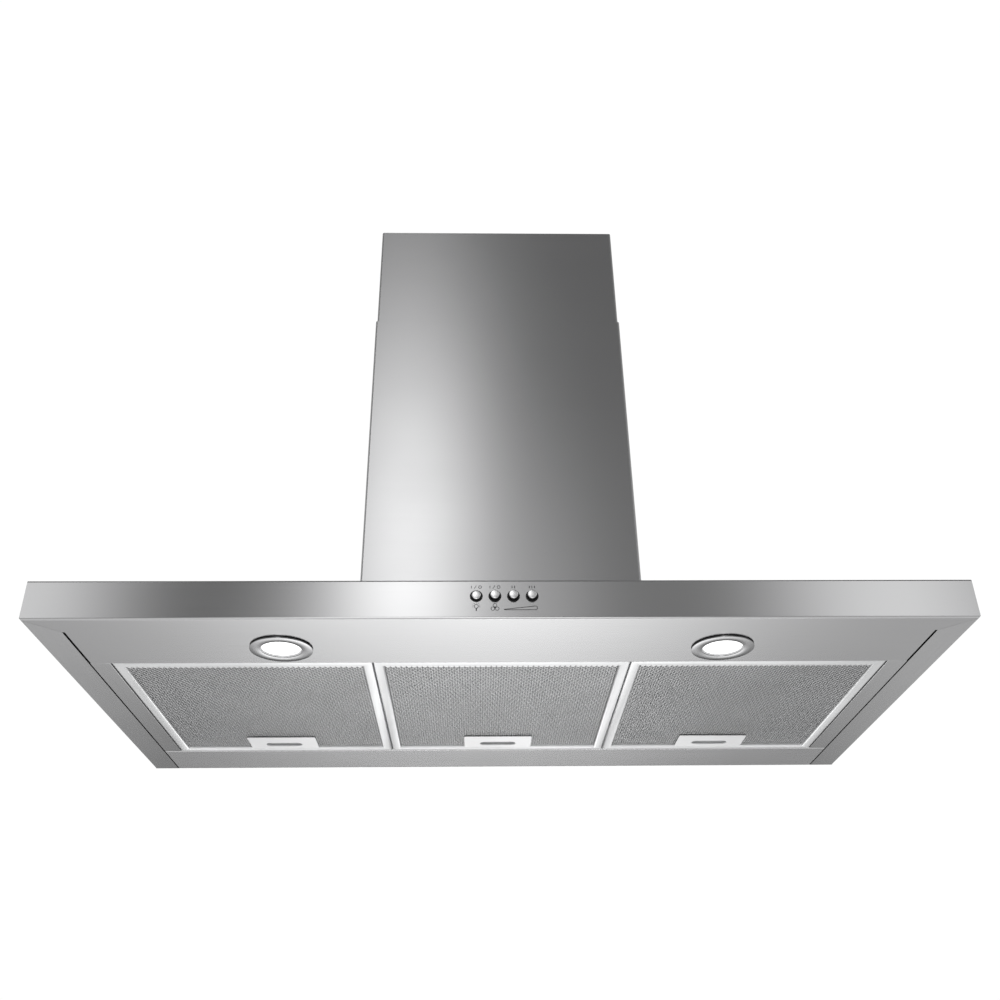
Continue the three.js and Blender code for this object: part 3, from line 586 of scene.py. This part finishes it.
def cut_plate(name, outlines, z_low, thick, edge=0.25 * MM):
    """A flat plate bounded by the first outline, with the others as holes and softened edges."""
    curve = bpy.data.curves.new(name, "CURVE")
    curve.dimensions = "2D"
    curve.fill_mode = "BOTH"
    curve.extrude = thick / 2 - edge
    curve.bevel_depth = edge
    curve.bevel_resolution = 2
    curve.offset = -edge
    for outline in outlines:
        spline = curve.splines.new("POLY")
        spline.points.add(len(outline) - 1)
        for point, (x, y) in zip(spline.points, outline):
            point.co = (x, y, 0, 1)
        spline.use_cyclic_u = True
    holder = bpy.data.objects.new(name, curve)
    bpy.context.scene.collection.objects.link(holder)
    bpy.context.view_layer.update()
    mesh = bpy.data.meshes.new_from_object(holder.evaluated_get(bpy.context.evaluated_depsgraph_get()))
    bpy.data.objects.remove(holder)
    mesh.transform(Matrix.Translation((0, 0, z_low + thick / 2)))
    mesh.name = name
    smooth(mesh, 30)
    return mesh


# ---- steel sheets -----------------------------------------------------------------------------

def make_sheets():
    refined("canopy_shell", "canopy", brushed_canopy, 0.3 * MM)
    refined("fascia_panel", "canopy", brushed_level, 0.3 * MM)
    refined("back_strip", "canopy", brushed_level, 0.3 * MM)
    for side, sign in SIDES:
        mesh = side_strip(f"side_strip_{side}_finish", *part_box(f"side_strip_{side}"), sign)
        link(mesh.name, mesh, "canopy", "hood", (f"side_strip_{side}",))
        # black painted shade in the gap beside the filter
        mesh = gap_shade_strip(f"gap_shade_strip_{side}", *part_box(f"side_strip_{side}"), sign)
        link(mesh.name, mesh, "black", "hood")
    refined("chimney_lower_cover", "chimney", brushed_level, 0.2 * MM)
    refined("chimney_upper_cover", "chimney", brushed_level, 0.2 * MM)


SHEET = 1.2 * MM
# width and recess of the black painted-shade piece in the gap beside each filter
SHADE_STRIP_W = 1.1 * MM
SHADE_STRIP_RECESS = 1.0 * MM


def side_strip(name, low, high, sign):
    """Folded strip: flat underside with one edge turned up beside the filter."""
    inner, outer = (high.x, low.x) if sign < 0 else (low.x, high.x)
    step = sign * SHEET
    section = [(inner, high.z), (inner, low.z), (outer, low.z), (outer, low.z + SHEET),
               (inner + step, low.z + SHEET), (inner + step, high.z)]
    work = bmesh.new()
    ends = [[work.verts.new((x, y, z)) for x, z in section] for y in (low.y, high.y)]
    for k in range(len(section)):
        m = (k + 1) % len(section)
        work.faces.new((ends[0][k], ends[0][m], ends[1][m], ends[1][k]))
    for end in ends:
        work.faces.new(end)
    mesh = rounded_copy(finish_mesh(name, work), 0.3 * MM)
    mesh.name = name
    map_grain(mesh, brushed_lengthways)
    return mesh


def gap_shade_strip(name, low, high, sign):
    """Black piece on the strip's lip: painted shade that makes the gap beside the filter dark."""
    lip = high.x if sign < 0 else low.x
    work = bmesh.new()
    add_box(work, sorted((lip, lip - sign * SHADE_STRIP_W)), (low.y, high.y), (low.z + SHADE_STRIP_RECESS, high.z))
    mesh = rounded_copy(finish_mesh(name, work), 0.2 * MM)
    mesh.name = name
    return mesh


def brushed_canopy(normal):
    """Deck along X, sides and the flanges under them along Y."""
    if normal.z < -0.5 or abs(normal.x) > 0.5:
        return Y_AXIS
    return X_AXIS


# ---- hidden frame and blower ------------------------------------------------------------------


def make_inside():
    for node in frame["nodes"]:
        if node.startswith(("upper_post", "lower_post", "frame_bolt", "blower_rail", "ceiling_plate",
                            "motor_bracket", "motor_shaft", "damper_pin", "blower_motor")):
            refined(node, "zinc")
        elif node.startswith(("blower_housing", "duct_collar", "cable_gland")):
            refined(node, "black")
        elif node.startswith(("wiring_box", "blower_wheel", "damper_flap")):
            refined(node, "grey")
        elif node.startswith(("motor_capacitor", "lamp_transformer")):
            refined(node, "white", bevel=0.8 * MM)
        elif node.startswith("lamp_housing"):
            refined(node, "rail")
        elif node.startswith("latch_spring"):
            spring = refined(node, "zinc", bevel=0.08 * MM)
            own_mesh(spring)


# ---- lamps ------------------------------------------------------------------------------------

NOTCH_AT = (11 * MM, 9 * MM)      # pry slot in the lens, towards the middle and the back


def make_lamps():
    up = Vector((0, 0, 1))
    for side, sign in SIDES:
        low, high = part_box(f"lamp_ring_{side}")
        centre = (low + high) / 2
        foot = Vector((centre.x, centre.y, low.z))
        outer = (high.x - low.x) / 2
        lens_low, lens_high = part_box(f"lamp_lens_{side}")
        lens = (lens_high.x - lens_low.x) / 2
        bore = lens + 0.1 * MM
        neck = outer - 3.8 * MM
        top = high.z - low.z
        profile = [(bore, 1.0 * MM), (bore + 0.1 * MM, 0.4 * MM), (bore + 0.35 * MM, 0.1 * MM),
                   (bore + 0.7 * MM, 0.0), (outer - 0.2 * MM, 0.0), (outer - 0.05 * MM, 0.05 * MM),
                   (outer, 0.2 * MM), (outer, 1.1 * MM), (outer - 1.4 * MM, 1.1 * MM),
                   (neck, 1.7 * MM), (neck, top), (bore, top)]
        mesh = turned(f"lamp_ring_{side}_finish", profile, foot, up, 96)
        link(mesh.name, mesh, "ring", "hood", (f"lamp_ring_{side}",))
        # Black ring in the recess under the flange: painted shade for the dark gap between the lamp ring and
        # the panel.
        shade_ring = [(neck + 0.1 * MM, 1.15 * MM), (outer - 1.5 * MM, 1.15 * MM), (outer - 1.5 * MM, 1.9 * MM),
                (neck + 0.1 * MM, 1.9 * MM)]
        mesh = turned(f"lamp_shade_ring_{side}", shade_ring, foot, up, 72)
        link(mesh.name, mesh, "black", "hood")
        foot = Vector((centre.x, centre.y, lens_low.z))
        thick = lens_high.z - lens_low.z
        profile = [(0, 0)]
        for k in range(1, 9):
            r = lens * k / 8
            profile.append((r * 0.985, 1.5 * MM * (k / 8) ** 3))
        profile += [(lens, 1.9 * MM), (lens, thick), (0, thick)]
        mesh = turned(f"lamp_lens_{side}_finish", profile, foot, up, 72)
        layer = mesh.uv_layers.new(name="grain")
        for loop in mesh.loops:
            point = mesh.vertices[loop.vertex_index].co
            layer.data[loop.index].uv = (point.x - centre.x, point.y - centre.y)
        link(mesh.name, mesh, "lens", "hood", (f"lamp_lens_{side}",))
        notch_at = (centre.x - sign * NOTCH_AT[0], centre.y + NOTCH_AT[1])
        notch = stadium(notch_at, 5 * MM, 2.2 * MM)
        mesh = cut_plate(f"lens_notch_{side}", [notch], lens_low.z + 0.45 * MM, 0.7 * MM, 0.15 * MM)
        link(mesh.name, mesh, "grey", "hood")


# ---- buttons and their marks ------------------------------------------------------------------

CAP_CROWN = 0.15 * MM
CAP_EDGE = 0.6 * MM
CAP_T = 1.1 * MM          # the chromed cap; behind it the stem is black, painted shade for the side of the chrome cap


def make_buttons():
    refined("switch_block", "black", bevel=0.15 * MM)
    inward = Vector((0, 1, 0))
    for name in BUTTONS:
        low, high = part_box(f"button_{name}")
        centre = (low + high) / 2
        tip = Vector((centre.x, low.y, centre.z))
        radius = (high.x - low.x) / 2
        length = high.y - low.y
        profile = [(0, 0)]
        flat = radius - CAP_EDGE
        for k in range(1, 7):
            profile.append((flat * k / 6, CAP_CROWN * (k / 6) ** 2))
        for k in range(1, 6):
            a = math.pi / 2 * k / 5
            profile.append((flat + CAP_EDGE * math.sin(a), CAP_CROWN + CAP_EDGE * (1 - math.cos(a))))
        profile += [(radius, CAP_T), (0, CAP_T)]
        mesh = turned(f"button_{name}_cap", profile, tip, inward, 56)
        link(mesh.name, mesh, "cap", f"switch_{name}", (f"button_{name}",))
        # The black stem shows where the side of the chrome cap looks dark: painted shade.
        stem = [(0, CAP_T), (radius - 0.1 * MM, CAP_T), (radius - 0.1 * MM, length), (0, length)]
        mesh = turned(f"button_{name}_stem", stem, tip, inward, 56)
        link(mesh.name, mesh, "black", f"switch_{name}")


INK_T = 0.06 * MM         # printed marks stand this far out of the fascia


def ink_piece(name, work):
    mesh = finish_mesh(name, work, 30)
    link(name, mesh, "ink", "hood")


def add_stroke(work, points, width, closed=False):
    """A flat line of ink on the fascia through (x, z) points."""
    count = len(points)
    line = [Vector(p) for p in points]
    left, right = [], []
    for i, point in enumerate(line):
        before = line[i - 1] if (i or closed) else point
        after = line[(i + 1) % count] if (i < count - 1 or closed) else point
        way = (after - before).normalized()
        aside = Vector((-way.y, way.x)) * width / 2
        left.append(point + aside)
        right.append(point - aside)

    def corner(point, depth):
        return work.verts.new((point.x, FRONT - depth, point.y))

    rings = [[corner(p, d) for p, d in ((l, 0.0), (l, INK_T), (r, INK_T), (r, 0.0))]
             for l, r in zip(left, right)]
    ends = count if closed else count - 1
    for i in range(ends):
        a, b = rings[i], rings[(i + 1) % count]
        for k in range(4):
            m = (k + 1) % 4
            work.faces.new((a[k], a[m], b[m], b[k]))
    if not closed:
        work.faces.new(rings[0])
        work.faces.new(rings[-1][::-1])


def ring_points(x, z, radius, steps=20):
    angles = [2 * math.pi * i / steps for i in range(steps)]
    return [(x + radius * math.cos(a), z + radius * math.sin(a)) for a in angles]


def make_marks():
    xs = [centre_of(f"button_{name}").x for name in BUTTONS]
    label_z = UNDERSIDE + 32.4 * MM
    icon_z = UNDERSIDE + 11.2 * MM
    line = 0.55 * MM
    for name, x in zip(("light", "fan"), xs[:2]):
        work = bmesh.new()
        add_stroke(work, [(x - 4.6 * MM, label_z - 1.4 * MM), (x - 4.6 * MM, label_z + 1.4 * MM)], line)
        add_stroke(work, [(x - 1.9 * MM, label_z - 1.7 * MM), (x + 0.1 * MM, label_z + 1.7 * MM)], line)
        add_stroke(work, ring_points(x + 3.6 * MM, label_z, 1.4 * MM), line, closed=True)
        ink_piece(f"mark_switch_{name}", work)
    for name, x, bars in (("medium", xs[2], 2), ("high", xs[3], 3)):
        work = bmesh.new()
        for k in range(bars):
            at = x + (k - (bars - 1) / 2) * 2.4 * MM
            add_stroke(work, [(at, label_z - 1.4 * MM), (at, label_z + 1.4 * MM)], 0.7 * MM)
        ink_piece(f"mark_speed_{name}", work)
    work = bmesh.new()
    x = xs[0]
    bulb = icon_z + 1.2 * MM
    add_stroke(work, ring_points(x, bulb, 1.9 * MM), line, closed=True)
    add_stroke(work, [(x, bulb - 2.1 * MM), (x, bulb - 4.6 * MM)], 1.1 * MM)
    for k in range(7):
        a = math.radians(-10 + 200 / 6 * k)
        tips = [(x + r * math.cos(a), bulb + r * math.sin(a)) for r in (2.7 * MM, 3.9 * MM)]
        add_stroke(work, tips, 0.35 * MM)
    ink_piece("mark_lamp", work)
    work = bmesh.new()
    x = xs[1]
    for k in range(3):
        a = math.radians(90 + 120 * k)
        petal = (x + 2.35 * MM * math.cos(a), icon_z + 2.35 * MM * math.sin(a))
        add_stroke(work, ring_points(*petal, 1.75 * MM), line, closed=True)
    add_stroke(work, ring_points(x, icon_z, 0.45 * MM), 0.8 * MM, closed=True)
    ink_piece("mark_fan", work)
    work = bmesh.new()
    start, end = xs[2] - 9.0 * MM, xs[3] + 4.6 * MM
    base = icon_z - 2.4 * MM
    wedge = [(start, base), (end - 1 * MM, base), (end, base + 1 * MM), (end, base + 3.2 * MM),
             (end - 1.2 * MM, base + 3.9 * MM), (start, base + 0.5 * MM)]
    add_stroke(work, wedge, 0.65 * MM)
    ink_piece("mark_speed_wedge", work)


# ---- grease filters ---------------------------------------------------------------------------

RAIL_SIDE = 11 * MM
RAIL_FRONT = 12 * MM
RAIL_BACK = 9 * MM
CELL_W = 5.5 * MM         # one diamond of the outer expanded mesh, across and along
CELL_L = 4.4 * MM
STRAND_W = 0.9 * MM
STRAND_T = 0.3 * MM


def rail_ring(name, low, high):
    """The four mitred rails: a rounded channel section swept round the filter."""
    tab = 5.5 * MM
    outer = ((low.x, low.y + tab), (high.x, low.y + tab), (high.x, high.y), (low.x, high.y))
    inner = ((low.x + RAIL_SIDE, low.y + tab + RAIL_FRONT), (high.x - RAIL_SIDE, low.y + tab + RAIL_FRONT),
             (high.x - RAIL_SIDE, high.y - RAIL_BACK), (low.x + RAIL_SIDE, high.y - RAIL_BACK))
    thick = high.z - low.z
    section = [(0.0, 0.14), (0.03, 0.05), (0.08, 0.012), (0.16, 0.0), (0.80, 0.0), (0.88, 0.02), (0.94, 0.07),
               (1.0, 0.16), (1.0, 0.30), (0.93, 0.30), (0.93, 0.92), (1.0, 0.92), (1.0, 1.0), (0.0, 1.0)]
    work = bmesh.new()
    rings = []
    for o, i in zip(outer, inner):
        ring = []
        for across, height in section:
            x = o[0] + (i[0] - o[0]) * across
            y = o[1] + (i[1] - o[1]) * across
            ring.append(work.verts.new((x, y, low.z + thick * height)))
        rings.append(ring)
    count = len(section)
    for a, b in zip(rings, rings[1:] + rings[:1]):
        for k in range(count):
            m = (k + 1) % count
            work.faces.new((a[k], a[m], b[m], b[k]))
    middle = (low.x + high.x) / 2
    for at in (-70 * MM, 70 * MM):
        add_box(work, (middle + at - 15 * MM, middle + at + 15 * MM), (low.y, low.y + tab + 1 * MM),
                (low.z + 1.7 * MM, low.z + 2.9 * MM))
    return finish_mesh(name, work, 40)


def add_ribbon(work, run, width):
    """One strand of the mesh through the points of run, three-sided."""
    if len(run) < 2:
        return
    rings = []
    for x, y, z in run:
        rings.append([work.verts.new((x + dx, y, z + dz)) for dx, dz in (
            (-width / 2, 0.0), (width / 2, 0.0), (0.0, STRAND_T))])
    for a, b in zip(rings, rings[1:]):
        for k in range(3):
            m = (k + 1) % 3
            work.faces.new((a[k], a[m], b[m], b[k]))
    work.faces.new(rings[0])
    work.faces.new(rings[-1][::-1])


def mesh_layer(work, x_range, y_range, height, cell_w, cell_l, width, keep):
    """One sheet of expanded mesh: zigzag strands along Y that touch their neighbours."""
    (x0, x1), (y0, y1) = x_range, y_range
    columns = round(2 * (x1 - x0) / cell_w)
    rows = round(2 * (y1 - y0) / cell_l)
    pitch_x = (x1 - x0) / columns
    pitch_y = (y1 - y0) / rows
    swing = (pitch_x - width * 0.6) / 2
    for column in range(columns):
        middle = x0 + (column + 0.5) * pitch_x
        run = []
        for i in range(rows + 1):
            y = y0 + i * pitch_y
            sign = 1 if (i + column) % 2 else -1
            if keep(middle, y):
                run.append((middle + sign * swing, y, height + (0.12 * MM if sign > 0 else 0.0)))
            else:
                add_ribbon(work, run, width)
                run = []
        add_ribbon(work, run, width)


PLATE_T = 1.2 * MM
PLATE_D = 42 * MM
SLOT_W = 44 * MM
SLOT_D = 13 * MM
CUP_D = 1.6 * MM          # from the back of the plate to the cup's floor
SLOT_FROM_BACK = 15.2 * MM
TONGUE_W = 28 * MM


def make_latch(side, low, high):
    """Pull plate with its finger slot, the grey cup behind the slot, and the tongue; the cup's grey is
    painted shade that darkens the slot.
    """
    body = f"latch_{side}"
    middle = (low.x + high.x) / 2
    back = low.y + PLATE_D
    slot_at = (middle, back - SLOT_FROM_BACK)
    slot = stadium(slot_at, SLOT_W, SLOT_D)
    outline = rounded_outline((low.x, low.y), (high.x, back), 1.5 * MM)
    mesh = cut_plate(f"latch_plate_{side}", [outline, slot], low.z, PLATE_T)
    link(mesh.name, mesh, "plate", body, (f"filter_latch_{side}",))
    # The cup's grey darkens the slot: painted shade in the recess.
    wall = stadium(slot_at, SLOT_W + 3 * MM, SLOT_D + 1 * MM)
    mesh = cut_plate(f"latch_cup_{side}", [wall, slot], low.z + PLATE_T, CUP_D)
    link(mesh.name, mesh, "grey", body)
    mesh = cut_plate(f"latch_cup_floor_{side}", [wall], low.z + PLATE_T + CUP_D, 1 * MM)
    link(mesh.name, mesh, "grey", body)
    work = bmesh.new()
    add_box(work, (middle - TONGUE_W / 2, middle + TONGUE_W / 2), (slot_at[1] + SLOT_D / 2 + 2 * MM, high.y),
            (low.z + 1.9 * MM, low.z + 3.1 * MM))
    mesh = rounded_copy(finish_mesh(f"latch_tongue_{side}", work), 0.2 * MM)
    mesh.name = f"latch_tongue_{side}"
    link(mesh.name, mesh, "rail", body)


SCALLOP_PITCH = 5.5 * MM
SCALLOP_D = 3.4 * MM


def add_scallops(work, x_range, y, z):
    """Half-round tabs along the front rail, where the mesh edge is folded over it."""
    count = round((x_range[1] - x_range[0]) / SCALLOP_PITCH)
    pitch = (x_range[1] - x_range[0]) / count
    for i in range(count):
        x = x_range[0] + (i + 0.5) * pitch
        arc = [(x - 0.42 * pitch * math.cos(math.pi * k / 6), y + SCALLOP_D * math.sin(math.pi * k / 6))
               for k in range(7)]
        ends = [[work.verts.new((px, py, pz)) for px, py in arc] for pz in (z, z + STRAND_T)]
        for k in range(6):
            work.faces.new((ends[0][k], ends[0][k + 1], ends[1][k + 1], ends[1][k]))
        work.faces.new((ends[0][6], ends[0][0], ends[1][0], ends[1][6]))
        work.faces.new(ends[0][::-1])
        work.faces.new(ends[1])


def make_filters():
    for side in FILTERS:
        body = f"filter_{side}"
        low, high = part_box(f"filter_frame_{side}")
        mesh = rail_ring(f"filter_rails_{side}", low, high)
        link(mesh.name, mesh, "rail", body, (f"filter_frame_{side}",))
        mesh_low, mesh_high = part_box(f"filter_mesh_{side}")
        middle = (low.x + high.x) / 2
        latch_low, latch_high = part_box(f"filter_latch_{side}")
        room_w = 27 * MM
        room_front = latch_low.y + 9 * MM

        def clear_of_latch(x, y):
            return not (abs(x - middle) < room_w and y > room_front)

        work = bmesh.new()
        spread_x = (mesh_low.x, mesh_high.x)
        spread_y = (mesh_low.y, mesh_high.y)
        mesh_layer(work, spread_x, spread_y, mesh_low.z, CELL_W, CELL_L, STRAND_W, clear_of_latch)
        add_scallops(work, spread_x, mesh_low.y - 0.2 * MM, low.z + 0.9 * MM)
        mesh = finish_mesh(f"filter_weave_{side}", work, 20)
        link(mesh.name, mesh, "mesh", body, (f"filter_mesh_{side}",))
        # Box behind the weave for the deeper mesh layers; its material is painted shade.
        work = bmesh.new()
        depth = (mesh_high.z - 3.6 * MM, mesh_high.z)
        add_box(work, spread_x, (mesh_low.y, room_front), depth)
        for sign in (-1, 1):
            reach = sorted((middle + sign * room_w, mesh_low.x if sign < 0 else mesh_high.x))
            add_box(work, reach, (room_front, mesh_high.y), depth)
        mesh = finish_mesh(f"filter_shaded_layers_{side}", work, 20)
        link(mesh.name, mesh, "pack", body)
        make_latch(side, latch_low, latch_high)


make_camera()
make_world()
make_stage()
make_sheets()
make_inside()
make_lamps()
make_buttons()
make_marks()
make_filters()
bpy.context.scene.view_settings.view_transform = "Standard"
